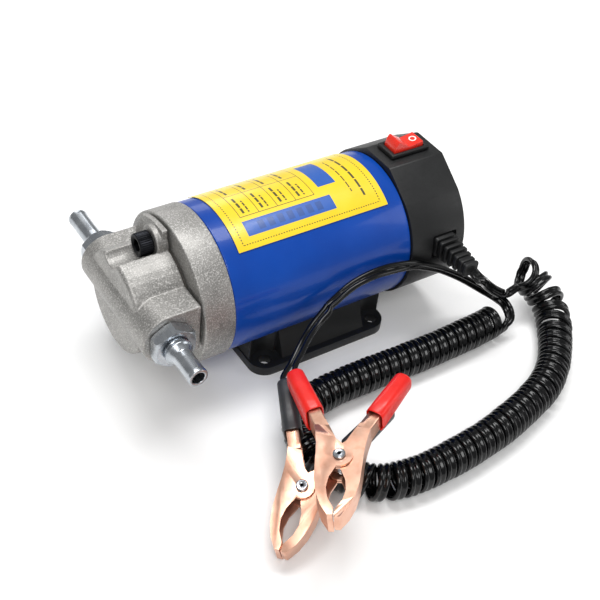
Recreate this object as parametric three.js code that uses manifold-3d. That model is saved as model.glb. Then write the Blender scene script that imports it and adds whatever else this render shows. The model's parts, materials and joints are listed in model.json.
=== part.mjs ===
// Fluid transfer pump: a gear pump head on a 12 V motor, with a foot, a rocker switch,
// and a curly twin lead that ends in two battery clamps.
// Millimetres, +Z up. X runs along the motor from the pump head (-X) to the rear cap (+X).
// The origin is on the surface under the foot, below the middle of the pump's length.
import * as THREE from 'three';
import { ConvexGeometry } from 'three/addons/geometries/ConvexGeometry.js';
import { mergeVertices } from 'three/addons/utils/BufferGeometryUtils.js';
import Module from 'manifold-3d';

const wasm = await Module();
wasm.setup();

// ---------- driving dimensions ----------
const LENGTH = 160;             // front face of the pump head to the rear of the cap
const PORT_SPAN = 110;          // across the tips of the two hose tails
const AXIS_Z = 42;              // motor axis above the surface
const GAP = 0.3;                // clearance kept between touching pieces

const X_FRONT = -LENGTH / 2;
const X_REAR = LENGTH / 2;
const X_HOUSING_BACK = -54.5;   // pump housing meets the gasket
const X_BELL_FRONT = -53.5;
const X_TUBE_FRONT = -39;
const X_TUBE_REAR = 49.6;

const TUBE_R = 33;
const TUBE_WALL = 2;
const BELL_R = 33.5;
const CORE_R = 22.4;            // round middle of the pump housing, with a rounded front edge
const CORE_Z = AXIS_Z + 1.5;
const X_CORE = -77.3;
const CORE_EDGE = 1.8;

const PORT_X = -68.5;
const PORT_Z = AXIS_Z + 4;
const ARM_R = 11.5;             // rounded nose of each port arm, about the port axis
const ARM_END = { near: 31, far: 25.8 };
const HOSE_TAIL_R = 4.1;
const HOSE_TAIL_BORE = 2.7;
const THREAD_R = 5.3;
const COLLAR_R = 5.9;
const HEX_ACROSS_FLATS = 17;

const GEAR_TEETH = 10;
const GEAR_MODULE = 1;
const GEAR_CENTRES = GEAR_TEETH * GEAR_MODULE;
const CAVITY_R = 6.2;
const X_CAVITY = -70.5;
const X_JOURNAL = -74.5;
const JOURNAL_R = 2.5;
const SHAFT_R = 4;
const X_SHAFT_REAR = 70;

const SCREW_RADIUS = 25.4;      // housing screws from the motor axis
const SCREW_TURN = THREE.MathUtils.degToRad(83);   // from +Y towards +Z
const SCREW_R = 2.9;
const SCREW_HEAD_R = 5;
const SCREW_HEAD = 6;
const X_BOSS = -59.5;

const MAGNET_X = [-22, 32];
const MAGNET_R = [25.4, 30.7];
const MAGNET_HALF_ANGLE = THREE.MathUtils.degToRad(60);
const CORE_X = [-18, 26];
const LAMINATION_R = 24.6;
const SLOTS = 8;
const COMMUTATOR_X = [38, 50];
const COMMUTATOR_R = 10;
const BRUSH_X = [41.5, 47];
const BRUSH_HALF_HEIGHT = 3;
const BRUSH_Y = [10.3, 20.3];
const BOLT_RADIUS = 27.8;
const BOLT_TURN = THREE.MathUtils.degToRad(68);
const BOLT_R = 1.8;

const CAP_R = 34.1;
const CAP_WALL = 2.8;
const CAP_FLAT_Z = AXIS_Z + 35;
const CAP_FLAT_HALF = 9;
const SWITCH_X = 64.8;
const SWITCH_Y = 1.2;
const BEZEL = [20.6, 11.6, 2.3];
const SWITCH_BODY = [18.2, 10.6];
const ROCKER_R = 7.8;
const ROCKER_HALF_WIDTH = 4;
const ROCKER_PIVOT_Z = CAP_FLAT_Z + 2;
const ROCKER_TILT = THREE.MathUtils.degToRad(12);

const BOOT_X = 67.8;
const BOOT_Z = 46.2;
const BOOT_TIP_Y = -53;

const FOOT_X = [-24, 47];
const FOOT_HALF_WIDTH = 30;
const FOOT_PLATE = 4.5;
const SADDLE_HALF_WIDTH = 21.5;
const PAD_X = [-9.5, 35.5];
const FOOT_HOLE_X = [-17, 41];
const FOOT_HOLE_Y = 24;
const FOOT_SCREW_X = [0, 26];

const LABEL_X = [-32, 42];
const LABEL_TURN = [52, 132].map(THREE.MathUtils.degToRad);

const COIL_R = 7.8;
const LEAD_R = 1.9;             // plain stand-in tube for the flat twin lead
const WIRE_R = 1.3;

// ---------- materials ----------
const material = (color, roughness, metalness) =>
  new THREE.MeshStandardMaterial({ color, roughness, metalness });
const castAluminium = material('#a9a8a6', 0.55, 0.85);
const bluePaint = material('#1f5fd0', 0.2, 0.2);
const blackPlastic = material('#3a3b3d', 0.55, 0);
const redPlastic = material('#e8432f', 0.3, 0);
const zincSteel = material('#c4c9cd', 0.28, 1);
const toolSteel = material('#8d9094', 0.35, 1);
const blackSteel = material('#1c1d20', 0.4, 0.7);
const electricalSteel = material('#77797c', 0.45, 0.8);
const ferrite = material('#34343a', 0.7, 0.1);
const copperWire = material('#b5622c', 0.35, 0.9);
const copperPlate = material('#d9a184', 0.3, 0.9);
const bronze = material('#a8783c', 0.45, 0.85);
const carbon = material('#26262a', 0.8, 0);
const phenolic = material('#6b4a2c', 0.6, 0);
const rubber = material('#1b1c1e', 0.6, 0);
const gasketPaper = material('#4a4640', 0.9, 0);
const labelFilm = material('#f6de3c', 0.35, 0);
const cordVinyl = material('#17181a', 0.25, 0);
const redVinyl = material('#ef4a3e', 0.4, 0);
const blackVinyl = material('#4b4d50', 0.4, 0);

// ---------- solids: three.js geometry joined and cut with manifold ----------
function toSolid(geometry) {
  const bare = geometry.index ? geometry.toNonIndexed() : geometry.clone();
  bare.deleteAttribute('normal');
  bare.deleteAttribute('uv');
  const merged = mergeVertices(bare, 1e-4);
  const index = merged.index.array;
  const kept = [];
  for (let i = 0; i < index.length; i += 3) {
    const [a, b, c] = [index[i], index[i + 1], index[i + 2]];
    if (a !== b && b !== c && c !== a) kept.push(a, b, c);
  }
  const build = (triangles) => new wasm.Manifold(new wasm.Mesh({
    numProp: 3,
    vertProperties: new Float32Array(merged.attributes.position.array),
    triVerts: new Uint32Array(triangles),
  }));
  const solid = build(kept);
  return solid.volume() > 0 ? solid : build(kept.reverse());
}

function toGeometry(solid) {
  const mesh = solid.getMesh();
  const geometry = new THREE.BufferGeometry();
  geometry.setAttribute('position', new THREE.BufferAttribute(new Float32Array(mesh.vertProperties), 3));
  geometry.setIndex(new THREE.BufferAttribute(new Uint32Array(mesh.triVerts), 1));
  geometry.computeVertexNormals();
  return geometry;
}

const join = (...parts) => parts.reduce((sum, part) => sum.add(part));
const cut = (body, ...tools) => tools.reduce((rest, tool) => rest.subtract(tool), body);

// ---------- basic shapes ----------
// A rod along one axis. centre holds the other two coordinates in x, y, z order.
function rod(axis, radius, from, to, centre = [0, AXIS_Z], sides = 24) {
  const geometry = new THREE.CylinderGeometry(radius, radius, to - from, sides);
  const middle = (from + to) / 2;
  if (axis === 'x') geometry.rotateZ(-Math.PI / 2).translate(middle, centre[0], centre[1]);
  if (axis === 'y') geometry.translate(centre[0], middle, centre[1]);
  if (axis === 'z') geometry.rotateX(Math.PI / 2).translate(centre[0], centre[1], middle);
  return toSolid(geometry);
}

function box(x, y, z) {
  const geometry = new THREE.BoxGeometry(x[1] - x[0], y[1] - y[0], z[1] - z[0]);
  geometry.translate((x[0] + x[1]) / 2, (y[0] + y[1]) / 2, (z[0] + z[1]) / 2);
  return toSolid(geometry);
}

function ring(axis, inner, outer, from, to, centre = [0, AXIS_Z], sides = 32) {
  return cut(rod(axis, outer, from, to, centre, sides), rod(axis, inner, from - 1, to + 1, centre, sides));
}

function extrude(shape, depth, curveSegments = 12) {
  return new THREE.ExtrudeGeometry(shape, { depth, bevelEnabled: false, curveSegments });
}

// A shape drawn in the Y-Z plane and extruded along X.
function prismX(shape, from, to, curveSegments) {
  const geometry = extrude(shape, to - from, curveSegments);
  geometry.applyMatrix4(new THREE.Matrix4().set(0, 0, 1, from, 1, 0, 0, 0, 0, 1, 0, 0, 0, 0, 0, 1));
  return toSolid(geometry);
}

// A shape drawn in the X-Z plane and extruded along Y.
function prismY(shape, from, to, curveSegments) {
  const geometry = extrude(shape, to - from, curveSegments);
  geometry.rotateX(Math.PI / 2).translate(0, to, 0);
  return toSolid(geometry);
}

function prismZ(shape, from, to, curveSegments) {
  return toSolid(extrude(shape, to - from, curveSegments).translate(0, 0, from));
}

const polygon = (points) => new THREE.Shape(points.map(([x, y]) => new THREE.Vector2(x, y)));

function hexagon(acrossFlats, cx, cy) {
  const reach = acrossFlats / Math.sqrt(3);
  const corners = Array.from({ length: 6 }, (_, i) => (i + 0.5) * Math.PI / 3);
  return polygon(corners.map((a) => [cx + reach * Math.cos(a), cy + reach * Math.sin(a)]));
}

function roundedRectangle(width, height, radius) {
  const [w, h] = [width / 2, height / 2];
  const shape = new THREE.Shape();
  shape.moveTo(-w + radius, -h);
  shape.lineTo(w - radius, -h);
  shape.absarc(w - radius, -h + radius, radius, -Math.PI / 2, 0);
  shape.lineTo(w, h - radius);
  shape.absarc(w - radius, h - radius, radius, 0, Math.PI / 2);
  shape.lineTo(-w + radius, h);
  shape.absarc(-w + radius, h - radius, radius, Math.PI / 2, Math.PI);
  shape.lineTo(-w, -h + radius);
  shape.absarc(-w + radius, -h + radius, radius, Math.PI, 1.5 * Math.PI);
  return shape;
}

const mirrored = (range, side) => (side > 0 ? range : [-range[1], -range[0]]);
const polar = (radius, turn) => [radius * Math.cos(turn), AXIS_Z + radius * Math.sin(turn)];
const SCREWS = [polar(SCREW_RADIUS, SCREW_TURN), polar(SCREW_RADIUS, SCREW_TURN + Math.PI)];
const BOLTS = [polar(BOLT_RADIUS, BOLT_TURN), polar(BOLT_RADIUS, BOLT_TURN + Math.PI)];

const pump = new THREE.Group();

function add(name, solid, look) {
  const mesh = new THREE.Mesh(toGeometry(solid), look);
  mesh.name = name;
  pump.add(mesh);
  return mesh;
}

// ---------- pump head ----------
function lugPlate() {
  const shape = new THREE.Shape();
  shape.moveTo(-2.5, AXIS_Z + 15);
  shape.lineTo(-2.5, AXIS_Z + 33);
  shape.absarc(0, AXIS_Z, 33.1, Math.atan2(33, -2.5), Math.atan2(29, 16), true);
  shape.lineTo(21, AXIS_Z + 19);
  shape.lineTo(20, AXIS_Z + 8);
  return prismX(shape, -57, X_HOUSING_BACK, 12);
}

function armsSolid() {
  const shape = new THREE.Shape();
  shape.moveTo(X_HOUSING_BACK, PORT_Z - ARM_R);
  shape.lineTo(X_HOUSING_BACK, PORT_Z + ARM_R);
  shape.lineTo(PORT_X, PORT_Z + ARM_R);
  shape.absarc(PORT_X, PORT_Z, ARM_R, Math.PI / 2, 1.5 * Math.PI, false);
  return prismY(shape, -ARM_END.near, ARM_END.far, 12);
}

function coreSolid() {
  const profile = new THREE.Path();
  profile.moveTo(0, X_HOUSING_BACK);
  profile.lineTo(0, X_CORE);
  profile.lineTo(CORE_R - CORE_EDGE, X_CORE);
  profile.absarc(CORE_R - CORE_EDGE, X_CORE + CORE_EDGE, CORE_EDGE, -Math.PI / 2, 0, false);
  profile.lineTo(CORE_R, X_HOUSING_BACK);
  profile.lineTo(0, X_HOUSING_BACK);
  const points = profile.getPoints(4).filter((p, i, all) => i === 0 || p.distanceTo(all[i - 1]) > 1e-3);
  const geometry = new THREE.LatheGeometry(points, 40);
  return toSolid(geometry.rotateZ(-Math.PI / 2).translate(0, 0, CORE_Z));
}

function pumpHousing() {
  const lug = join(lugPlate(), rod('x', 6.8, X_BOSS, X_HOUSING_BACK, SCREWS[0]));
  const turn = (solid) => solid.translate([0, 0, -AXIS_Z]).rotate([180, 0, 0]).translate([0, 0, AXIS_Z]);
  const body = join(coreSolid(), armsSolid(), lug, turn(lug));
  const idler = [0, AXIS_Z + GEAR_CENTRES];
  const cavity = [[0, AXIS_Z], idler].map((c) => rod('x', CAVITY_R, X_CAVITY, X_HOUSING_BACK + 1, c));
  const journals = [[0, AXIS_Z], idler].map((c) => rod('x', JOURNAL_R + GAP, X_JOURNAL - GAP, X_CAVITY + 1, c, 16));
  const ports = [[-1, ARM_END.near], [1, ARM_END.far]].flatMap(([side, end]) => [
    rod('y', 3, ...mirrored([3, 24], side), [PORT_X, PORT_Z]),
    rod('y', 5.6, ...mirrored([end - 10, end + 1], side), [PORT_X, PORT_Z]),
  ]);
  const screwWays = SCREWS.flatMap((c) => [
    rod('x', SCREW_R + GAP, X_FRONT, X_HOUSING_BACK + 1, c, 20),
    rod('x', 6.2, X_FRONT - 1, X_BOSS, c),
  ]);
  return cut(body, ...cavity, ...journals, ...ports, ...screwWays);
}

function endBell() {
  const disc = rod('x', BELL_R, X_BELL_FRONT, X_TUBE_FRONT - GAP, [0, AXIS_Z], 56);
  const spigot = ring('x', 27, TUBE_R - TUBE_WALL - GAP, X_TUBE_FRONT - 1, X_TUBE_FRONT + 3, [0, AXIS_Z], 40);
  const hub = rod('x', 12, X_TUBE_FRONT - 1, -33);
  return cut(
    join(disc, spigot, hub),
    rod('x', SHAFT_R + GAP, X_BELL_FRONT - 1, -32),
    rod('x', 9.3, X_BELL_FRONT - 1, -47.5),
    rod('x', 8.3, -43.5, -32),
    ...SCREWS.map((c) => rod('x', SCREW_R + GAP, X_BELL_FRONT - 1, -43, c, 16)),
    ...BOLTS.map((c) => rod('x', BOLT_R + GAP, -46, -30, c, 12)),
  );
}

function gasket() {
  return cut(
    rod('x', CORE_R - 0.5, X_HOUSING_BACK + GAP, X_BELL_FRONT - GAP, [0, CORE_Z], 40),
    rod('x', 9.6, X_HOUSING_BACK, X_BELL_FRONT),
    rod('x', CAVITY_R + 0.4, X_HOUSING_BACK, X_BELL_FRONT, [0, AXIS_Z + GEAR_CENTRES]),
    ...SCREWS.map((c) => rod('x', SCREW_R + GAP, X_HOUSING_BACK, X_BELL_FRONT, c, 16)),
  );
}

// Involute spur gear about X. A tooth points along +Y when turn is 0.
function gear(centre, turn, boreRadius) {
  const pressure = THREE.MathUtils.degToRad(20);
  const pitch = GEAR_TEETH * GEAR_MODULE / 2;
  const base = pitch * Math.cos(pressure);
  const [root, tip] = [pitch - 1.2 * GEAR_MODULE, pitch + 0.85 * GEAR_MODULE];
  const involute = (angle) => Math.tan(angle) - angle;
  const halfAngle = (radius) => {
    const at = Math.acos(Math.min(1, base / Math.max(radius, base)));
    return Math.PI / (2 * GEAR_TEETH) - 0.035 + involute(pressure) - involute(at);
  };
  const radii = [root, base, (base + tip) / 2, tip];
  const points = [];
  for (let tooth = 0; tooth < GEAR_TEETH; tooth += 1) {
    const middle = turn + tooth * 2 * Math.PI / GEAR_TEETH;
    const flank = (radius, side) => {
      const at = middle + side * halfAngle(radius);
      return [centre[0] + radius * Math.cos(at), centre[1] + radius * Math.sin(at)];
    };
    points.push(...radii.map((radius) => flank(radius, -1)));
    points.push(...[...radii].reverse().map((radius) => flank(radius, 1)));
  }
  const blank = prismX(polygon(points), X_CAVITY + GAP, X_HOUSING_BACK - 0.1);
  return cut(blank, rod('x', boreRadius, X_CAVITY, X_HOUSING_BACK + 1, centre));
}

function capScrew(centre) {
  const head = rod('x', SCREW_HEAD_R, X_BOSS - GAP - SCREW_HEAD, X_BOSS - GAP, centre, 24);
  const shank = rod('x', SCREW_R, X_BOSS - GAP - 1, -43.5, centre, 16);
  const socket = prismX(hexagon(5, ...centre), X_BOSS - GAP - SCREW_HEAD - 1, X_BOSS - GAP - 2.8);
  return cut(join(head, shank), socket);
}

// Hose tail for one side: side is -1 (near) or +1 (far), end is where its arm stops.
function fitting(side, end) {
  const tip = PORT_SPAN / 2;
  const profile = [
    [HOSE_TAIL_BORE, tip], [HOSE_TAIL_BORE, end - 9], [THREAD_R, end - 9], [THREAD_R, end + 6], [COLLAR_R, end + 6],
    [COLLAR_R, end + 8.8], [HOSE_TAIL_R, end + 10.6], [HOSE_TAIL_R, tip - 0.6], [HOSE_TAIL_R - 0.5, tip],
    [HOSE_TAIL_BORE, tip],
  ];
  const lathe = new THREE.LatheGeometry(profile.map(([r, y]) => new THREE.Vector2(r, y)), 24);
  const hex = cut(
    prismY(hexagon(HEX_ACROSS_FLATS, 0, 0), end + GAP, end + 6.3),
    rod('y', 4, 0, tip, [0, 0]),
  );
  const tail = join(toSolid(lathe), hex);
  return tail.rotate([0, 0, side < 0 ? 180 : 0]).translate([PORT_X, 0, PORT_Z]);
}

add('pump_housing', pumpHousing(), castAluminium);
add('end_bell', endBell(), castAluminium);
add('housing_gasket', gasket(), gasketPaper);
add('drive_gear', gear([0, AXIS_Z], Math.PI / 2, JOURNAL_R + GAP), toolSteel);
add('driven_gear', gear([0, AXIS_Z + GEAR_CENTRES], Math.PI * (1.5 + 1 / GEAR_TEETH), JOURNAL_R + GAP), toolSteel);
add('idler_shaft', rod('x', JOURNAL_R, X_JOURNAL, X_HOUSING_BACK, [0, AXIS_Z + GEAR_CENTRES]), toolSteel);
add('shaft_seal', ring('x', SHAFT_R + GAP, 9, X_BELL_FRONT + 0.1, -47.8), rubber);
SCREWS.forEach((centre, i) => add(`housing_screw_${i + 1}`, capScrew(centre), blackSteel));
add('inlet_fitting', fitting(1, ARM_END.far), zincSteel);
add('outlet_fitting', fitting(-1, ARM_END.near), zincSteel);

// ---------- motor ----------
function motorTube() {
  const shell = ring('x', TUBE_R - TUBE_WALL, TUBE_R, X_TUBE_FRONT, X_TUBE_REAR, [0, AXIS_Z], 64);
  return cut(shell, ...FOOT_SCREW_X.map((x) => rod('z', 2.3, 5, 15, [x, 0], 12)));
}

function magnet(middle) {
  const shape = new THREE.Shape();
  const [from, to] = [middle - MAGNET_HALF_ANGLE, middle + MAGNET_HALF_ANGLE];
  shape.absarc(0, AXIS_Z, MAGNET_R[1], from, to, false);
  shape.absarc(0, AXIS_Z, MAGNET_R[0], to, from, true);
  return prismX(shape, ...MAGNET_X, 14);
}

function rotorShaft() {
  return join(
    rod('x', JOURNAL_R, X_JOURNAL, X_HOUSING_BACK + 1),
    rod('x', SHAFT_R, X_HOUSING_BACK + 0.7, X_SHAFT_REAR),
  );
}

const slotTurns = Array.from({ length: SLOTS }, (_, i) => 360 * (i + 0.5) / SLOTS);
const aroundMotor = (solid, degrees) =>
  solid.translate([0, 0, -AXIS_Z]).rotate([degrees, 0, 0]).translate([0, 0, AXIS_Z]);

function armatureCore() {
  const slot = box([CORE_X[0] - 1, CORE_X[1] + 1], [15, 26], [AXIS_Z - 1.6, AXIS_Z + 1.6]);
  return cut(
    rod('x', LAMINATION_R, ...CORE_X, [0, AXIS_Z], 40),
    rod('x', SHAFT_R + GAP, CORE_X[0] - 1, CORE_X[1] + 1),
    ...slotTurns.map((turn) => aroundMotor(slot, turn)),
  );
}

function armatureWinding() {
  const profile = (near, far) => [
    [9, near], [20, near], [22.5, (near + far) / 2], [20, far], [9, far], [9, near],
  ].map(([r, x]) => new THREE.Vector2(r, x));
  const endTurns = (near, far) => {
    const geometry = new THREE.LatheGeometry(profile(near, far), 24);
    return toSolid(geometry.rotateZ(-Math.PI / 2).translate(0, 0, AXIS_Z));
  };
  const bar = box([CORE_X[0] - 1, CORE_X[1] + 1], [15.5, 21.5], [AXIS_Z - 1.2, AXIS_Z + 1.2]);
  return join(
    endTurns(-27, CORE_X[0] - GAP),
    endTurns(CORE_X[1] + GAP, 36.5),
    ...slotTurns.map((turn) => aroundMotor(bar, turn)),
  );
}

function commutator() {
  const bars = 12;
  const slit = box([COMMUTATOR_X[0] - 1, COMMUTATOR_X[1] - 2], [9, 11], [AXIS_Z - 0.3, AXIS_Z + 0.3]);
  const slits = Array.from({ length: bars }, (_, i) => aroundMotor(slit, (i + 0.5) * 360 / bars));
  return cut(ring('x', SHAFT_R + GAP, COMMUTATOR_R, ...COMMUTATOR_X, [0, AXIS_Z], 24), ...slits);
}

function brushPlate() {
  return cut(
    rod('x', 30, 51, 53, [0, AXIS_Z], 40),
    rod('x', 11, 50, 54),
    ...BOLTS.map((c) => rod('x', BOLT_R + GAP, 50, 54, c, 12)),
  );
}

function brushHolder(side) {
  const around = 1;
  const inside = box(
    [BRUSH_X[0] - GAP, BRUSH_X[1] + GAP],
    mirrored([11, 25], side),
    [AXIS_Z - BRUSH_HALF_HEIGHT - GAP, AXIS_Z + BRUSH_HALF_HEIGHT + GAP],
  );
  const outside = box(
    [BRUSH_X[0] - GAP - around, 50.7],
    mirrored([12.5, 25.2 - GAP + around], side),
    [AXIS_Z - BRUSH_HALF_HEIGHT - GAP - around, AXIS_Z + BRUSH_HALF_HEIGHT + GAP + around],
  );
  return cut(outside, inside);
}

const brush = (side) => box(
  BRUSH_X,
  mirrored(BRUSH_Y, side),
  [AXIS_Z - BRUSH_HALF_HEIGHT, AXIS_Z + BRUSH_HALF_HEIGHT],
);

const brushSpring = (side) => ring(
  'y', 1.4, 2.4, ...mirrored([BRUSH_Y[1] + GAP, 24.7], side), [(BRUSH_X[0] + BRUSH_X[1]) / 2, AXIS_Z], 16,
);

function throughBolt(centre) {
  return join(rod('x', BOLT_R, -45, 79, centre, 12), rod('x', 3.4, X_REAR - 3.6, X_REAR - 0.4, centre, 18));
}

add('motor_tube', motorTube(), bluePaint);
add('magnet_near', magnet(Math.PI), ferrite);
add('magnet_far', magnet(0), ferrite);
add('rotor_shaft', rotorShaft(), toolSteel);
add('armature_core', armatureCore(), electricalSteel);
add('armature_winding', armatureWinding(), copperWire);
add('commutator', commutator(), copperWire);
add('front_bearing', ring('x', SHAFT_R + GAP, 8, -43.2, -33.5), bronze);
add('rear_bearing', ring('x', SHAFT_R + GAP, 8, 61.5, 71), bronze);
add('brush_plate', brushPlate(), phenolic);
for (const [side, where] of [[-1, 'near'], [1, 'far']]) {
  add(`brush_holder_${where}`, brushHolder(side), bronze);
  add(`brush_${where}`, brush(side), carbon);
  add(`brush_spring_${where}`, brushSpring(side), zincSteel);
}
BOLTS.forEach((centre, i) => add(`through_bolt_${i + 1}`, throughBolt(centre), zincSteel));

// ---------- rear cap, switch and strain relief ----------
function rearCap() {
  const roof = polygon([
    [-CAP_FLAT_HALF, CAP_FLAT_Z], [CAP_FLAT_HALF, CAP_FLAT_Z], [17.5, AXIS_Z + 29], [-17.5, AXIS_Z + 29],
  ]);
  const [front, back] = [X_TUBE_REAR + GAP, X_REAR];
  const inner = CAP_R - CAP_WALL;
  const shell = cut(
    join(rod('x', CAP_R, front, back, [0, AXIS_Z], 56), prismX(roof, front, back)),
    rod('x', inner, front - 1, back - 3, [0, AXIS_Z], 40),
  );
  const hub = ring('x', 8.3, 11, 61, back - 2, [0, AXIS_Z], 24);
  const seats = BOLTS.map((c) => rod('x', 4.8, 70, back - 2, c, 16));
  return cut(
    join(shell, hub, ...seats),
    ...BOLTS.flatMap((c) => [
      rod('x', BOLT_R + GAP, 60, back + 1, c, 12),
      rod('x', 3.4 + GAP, back - 3.6 - GAP, back + 1, c, 18),
    ]),
    box([SWITCH_X - SWITCH_BODY[0] / 2 - GAP, SWITCH_X + SWITCH_BODY[0] / 2 + GAP],
      [SWITCH_Y - SWITCH_BODY[1] / 2 - GAP, SWITCH_Y + SWITCH_BODY[1] / 2 + GAP], [58, CAP_FLAT_Z + 1]),
    box([BOOT_X - 5.9, BOOT_X + 5.9], [-40, -26], [BOOT_Z - 5.2, BOOT_Z + 5.2]),
    box([BOOT_X - 6.6, BOOT_X + 6.6], [-40, -32], [BOOT_Z - 5.8, BOOT_Z + 5.8]),
  );
}

function switchBody() {
  const [x, y] = SWITCH_BODY;
  const about = (half) => [SWITCH_Y - half, SWITCH_Y + half];
  const bezel = box([SWITCH_X - BEZEL[0] / 2, SWITCH_X + BEZEL[0] / 2],
    about(BEZEL[1] / 2), [CAP_FLAT_Z + GAP, CAP_FLAT_Z + BEZEL[2]]);
  const body = box([SWITCH_X - x / 2, SWITCH_X + x / 2], about(y / 2), [61, CAP_FLAT_Z + 1]);
  const well = box([SWITCH_X - ROCKER_R - 0.4, SWITCH_X + ROCKER_R + 0.4],
    about(ROCKER_HALF_WIDTH + GAP), [71, CAP_FLAT_Z + 5]);
  return cut(join(bezel, body), well);
}

// Rocker drawn about its pivot: round ends, a shallow V across the top.
function rocker() {
  const [low, high] = [-0.42, 0.52];
  const shape = new THREE.Shape();
  shape.moveTo(0, 1.3);
  shape.lineTo(-ROCKER_R * Math.cos(high), ROCKER_R * Math.sin(high));
  shape.absarc(0, 0, ROCKER_R, Math.PI - high, Math.PI - low, false);
  shape.absarc(0, 0, ROCKER_R, low, high, false);
  const upright = prismY(shape, -ROCKER_HALF_WIDTH, ROCKER_HALF_WIDTH, 8);
  return upright.rotate([0, THREE.MathUtils.radToDeg(ROCKER_TILT), 0]).translate([SWITCH_X, SWITCH_Y, ROCKER_PIVOT_Z]);
}

function terminal(x) {
  return box([x - 0.4, x + 0.4], [SWITCH_Y - 2.4, SWITCH_Y + 2.4], [54.5, 61 - GAP]);
}

function strainRelief() {
  const block = (halfX, halfZ, from, to) =>
    box([BOOT_X - halfX, BOOT_X + halfX], [to, from], [BOOT_Z - halfZ, BOOT_Z + halfZ]);
  const neck = block(5.5, 4.8, -28, -34.5);
  const flange = block(6.8, 6, -26.5, -28.6);
  const ribs = Array.from({ length: 5 }, (_, i) => {
    const shrink = 0.35 * i;
    return block(5.3 - shrink, 4.7 - shrink, -36 - 3.2 * i, -38 - 3.2 * i);
  });
  const core = block(3.7, 3.1, -34, BOOT_TIP_Y + 1);
  const tip = block(4.2, 3.7, BOOT_TIP_Y + 3, BOOT_TIP_Y);
  return join(neck, flange, core, tip, ...ribs);
}

add('rear_cap', rearCap(), blackPlastic);
add('switch_body', switchBody(), blackPlastic);
add('switch_rocker', rocker(), redPlastic);
add('switch_terminal_1', terminal(SWITCH_X - 4.5), bronze);
add('switch_terminal_2', terminal(SWITCH_X + 4.5), bronze);
add('strain_relief', strainRelief(), rubber);

// ---------- label ----------
function ratingLabel() {
  const shape = new THREE.Shape();
  const toAxis = LABEL_TURN.map((turn) => Math.PI - turn);
  shape.absarc(0, AXIS_Z, TUBE_R + GAP + 0.25, toAxis[1], toAxis[0], false);
  shape.absarc(0, AXIS_Z, TUBE_R + GAP, toAxis[0], toAxis[1], true);
  return prismX(shape, ...LABEL_X, 16);
}

add('rating_label', ratingLabel(), labelFilm);

// ---------- foot ----------
function footBase() {
  const [length, middle] = [FOOT_X[1] - FOOT_X[0], (FOOT_X[0] + FOOT_X[1]) / 2];
  const plate = prismZ(roundedRectangle(length, 2 * FOOT_HALF_WIDTH, 8), 0, FOOT_PLATE, 5)
    .translate([middle, 0, 0]);
  const saddle = box([FOOT_X[0] + 0.5, FOOT_X[1] - 0.5], [-SADDLE_HALF_WIDTH, SADDLE_HALF_WIDTH], [3, 22]);
  const side = SADDLE_HALF_WIDTH + 0.2;
  const pad = prismX(polygon([[-27.8, 3], [27.8, 3], [side, 17], [-side, 17]]), ...PAD_X);
  const holes = FOOT_HOLE_X.flatMap((x) => [-1, 1].flatMap((s) => [
    rod('z', 2.75, -1, 10, [x, s * FOOT_HOLE_Y], 16),
    rod('z', 7, FOOT_PLATE, 30, [x, s * (FOOT_HOLE_Y + 1)], 20),
  ]));
  const screwHoles = FOOT_SCREW_X.flatMap((x) => [
    rod('z', 2.3, -1, 20, [x, 0], 12),
    rod('z', 4.6, -1, 5.3, [x, 0], 16),
  ]);
  const cradle = rod('x', TUBE_R + GAP, FOOT_X[0] - 1, FOOT_X[1] + 1, [0, AXIS_Z], 56);
  return cut(join(plate, saddle, pad), cradle, ...holes, ...screwHoles);
}

function footScrew(x) {
  return cut(
    join(rod('z', 4, 2, 5, [x, 0], 16), rod('z', 2, 4, 12.5, [x, 0], 12)),
    prismZ(hexagon(3, x, 0), 1, 3.6),
  );
}

add('foot_base', footBase(), blackPlastic);
FOOT_SCREW_X.forEach((x, i) => add(`foot_screw_${i + 1}`, footScrew(x), blackSteel));

// ---------- battery clamps ----------
// A clamp is drawn about its rivet: +X to the jaw tips, +Y across, +Z along the rivet.
const CLAMP = { jaw: 26.3, handle: 41.5, spread: 21.3, height: 10.4, taper: 3, metal: 0.9, sleeve: 22.5 };

// Outline of the jaw part of one half, on the -Y side, with a round ear at the rivet.
function jawOutline() {
  const shape = new THREE.Shape();
  shape.moveTo(-14, -10.6);
  shape.quadraticCurveTo(-6, -8.6, 4, -8.6);
  shape.quadraticCurveTo(19, -8.6, CLAMP.jaw, -2.2);
  shape.lineTo(CLAMP.jaw, -0.2);
  shape.lineTo(CLAMP.jaw - 3, -0.2);
  shape.quadraticCurveTo(15, -6.6, 5.5, -0.9);
  shape.absarc(0, 0, 5, -0.18, Math.PI - 0.3, false);
  shape.lineTo(-7.5, -1.8);
  shape.lineTo(-14, -5);
  return shape;
}

// A straight bar from the body to the free end of the handle. Its section is a rectangle
// with cut corners; reach is how far it runs past the free end.
function handleBar(width, height, reach, corner, from = 14) {
  const turn = Math.atan2(CLAMP.spread - 7.8, CLAMP.handle - 14);
  const length = Math.hypot(CLAMP.spread - 7.8, CLAMP.handle - 14);
  const ends = [[from - 14, width[0], height[0]], [length + reach, width[1], height[1]]];
  const points = ends.flatMap(([along, w, h]) => [-1, 1].flatMap((i) => [-1, 1].flatMap((j) => [
    new THREE.Vector3(-along, i * (w / 2 - corner), j * h / 2),
    new THREE.Vector3(-along, i * w / 2, j * (h / 2 - corner)),
  ])));
  return toSolid(new ConvexGeometry(points))
    .rotate([0, 0, THREE.MathUtils.radToDeg(turn)])
    .translate([-14, -7.8, 0]);
}

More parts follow.
